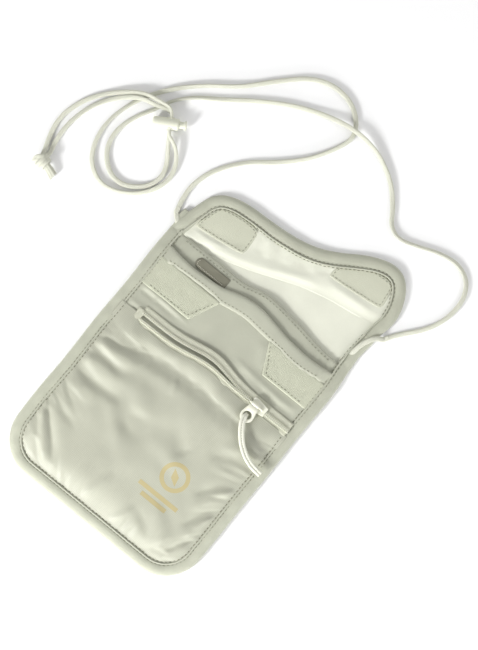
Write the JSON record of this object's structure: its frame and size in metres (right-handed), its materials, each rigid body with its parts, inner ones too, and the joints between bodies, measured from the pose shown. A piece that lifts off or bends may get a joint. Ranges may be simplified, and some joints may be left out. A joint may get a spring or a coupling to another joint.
{
  "type": "neck pouch wallet",
  "caption": "Flat neck-worn travel pouch with a zipped front pocket, two note sections, a fold-over flap and a loop cord with a sprung lock.",
  "frame": {"origin": "centre of the pouch's rear face, half way between its bottom edge and a point 86 mm above it", "axes": "+Z out of the front face, +Y up towards the flap, +X to the right seen from the front; the pouch lies on its back, flap open"},
  "size_m": [0.2525, 0.2902, 0.0105],
  "materials": {
    "cloth": "woven, soft sheen",
    "ripstop": "coated ripstop",
    "binding": "brushed tape",
    "patch": "hook and loop pile",
    "tape": "woven tape",
    "cord": "flat braid",
    "coil": "satin",
    "slider": "satin",
    "lock": "satin",
    "print": "matt print",
    "spring": "drawn wire"
  },
  "bodies": {
    "pouch": {"back_panel": "cloth", "divider_panel": "cloth", "divider_hem": "cloth", "divider_tab": "patch", "pocket_lining": "cloth", "upper_panel": "cloth", "upper_hem": "cloth", "loop_patch_left": "patch", "loop_patch_right": "patch", "front_panel": "ripstop", "edge_binding": "binding", "seam_ridge": "binding", "front_emblem": "print", "zip_upper_tape": "tape", "zip_upper_coil": "coil", "zip_closed_tape": "tape", "zip_closed_coil": "coil", "zip_end_patch": "tape", "cord_tab_left": "binding", "cord_tab_right": "binding"},
    "flap": {"flap_outer": "cloth", "flap_lining": "cloth", "flap_binding": "binding", "hook_patch_right": "patch"},
    "flap_left": {"flap_corner_outer": "cloth", "flap_corner_lining": "cloth", "flap_corner_binding": "binding", "hook_patch_left": "patch"},
    "zip_lip": {"zip_lower_tape": "tape", "zip_lower_coil": "coil"},
    "zip_slider": {"zip_slider": "slider"},
    "pull_tab": {"pull_tab": "slider"},
    "pull_cord": {"pull_cord": "cord"},
    "neck_cord": {"neck_cord_left": "cord", "neck_cord_right": "cord", "cord_knot": "cord"},
    "cord_lock": {"lock_barrel": "lock", "lock_spring": "spring"},
    "lock_plunger": {"lock_plunger": "lock"}
  },
  "joints": [
    {"name": "flap_fold", "type": "hinge", "parent": "pouch", "child": "flap", "pos_m": [0, 0.089, 0.004], "axis": [1, 0, 0], "range_deg": [0, 178.5]},
    {"name": "flap_corner_unfold", "type": "slide", "parent": "flap", "child": "flap_left", "axis": [0, 1, 0], "range_m": [0, 0.0265]},
    {"name": "zip_slide", "type": "slide", "parent": "pouch", "child": "zip_slider", "axis": [1, 0, 0], "range_m": [-0.08, 0.013]},
    {"name": "zip_lip_close", "type": "slide", "parent": "pouch", "child": "zip_lip", "axis": [0, 1, 0], "range_m": [-0.0006, 0.0031]},
    {"name": "pull_tab_lift", "type": "hinge", "parent": "zip_slider", "child": "pull_tab", "pos_m": [0.0363, 0.0293, 0.0081], "axis": [-1, 0, 0], "range_deg": [0, 140]},
    {"name": "pull_cord_swing", "type": "hinge", "parent": "pull_tab", "child": "pull_cord", "pos_m": [0.0363, 0.0217, 0.0081], "axis": [0, 0, 1], "range_deg": [-29, 41]},
    {"name": "neck_cord_swing", "type": "hinge", "parent": "pouch", "child": "neck_cord", "pos_m": [-0.0686, 0.087, 0.001], "axis": [0.9908, 0.1353, 0], "range_deg": [0, 80]},
    {"name": "cord_lock_slide", "type": "slide", "parent": "neck_cord", "child": "cord_lock", "axis": [-0.515, 0.8572, 0], "range_m": [-0.0018, 0.0012]},
    {"name": "plunger_press", "type": "slide", "parent": "cord_lock", "child": "lock_plunger", "axis": [-0.8572, -0.515, 0], "range_m": [0, 0.003], "stiffness_N_per_m": 600, "springref_m": -0.001, "deforming": ["lock_spring"]}
  ],
  "couplings": [
    {"joint": "flap_corner_unfold", "follows": "flap_fold", "m_per_rad": 0.008346},
    {"joint": "zip_lip_close", "follows": "zip_slide", "ratio": -0.0375}
  ]
}
